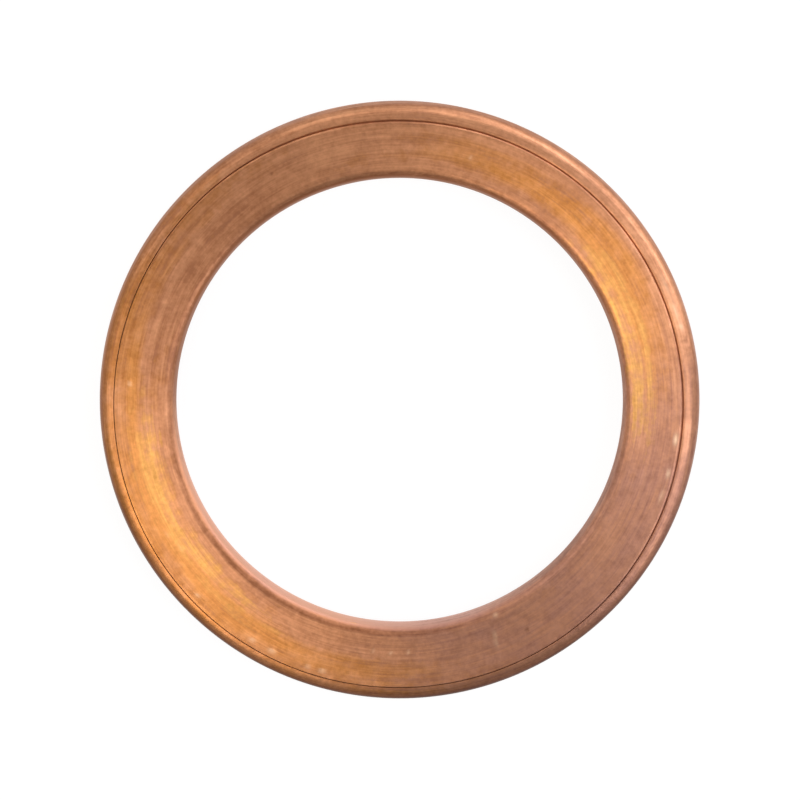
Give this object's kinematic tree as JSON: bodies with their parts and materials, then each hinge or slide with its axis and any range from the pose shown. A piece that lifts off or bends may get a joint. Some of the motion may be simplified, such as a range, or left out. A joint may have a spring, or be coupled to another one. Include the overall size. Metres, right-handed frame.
{
  "type": "plug washer",
  "caption": "Flat hollow copper sealing ring, folded from thin sheet with a crimped seam, that crushes under a screw plug to seal its thread.",
  "frame": {"origin": "centre of the bore, in the plane of the flat bottom face that the ring lies on", "axes": "+Z along the ring's axis, from the plain face to the face with the seam; +Y is the top of the picture and +X its right"},
  "size_m": [0.022, 0.022, 0.002],
  "materials": {
    "copper": "bare copper with fine circular brushing, slightly dulled"
  },
  "bodies": {
    "root": {"plug_washer": "copper"}
  },
  "joints": []
}
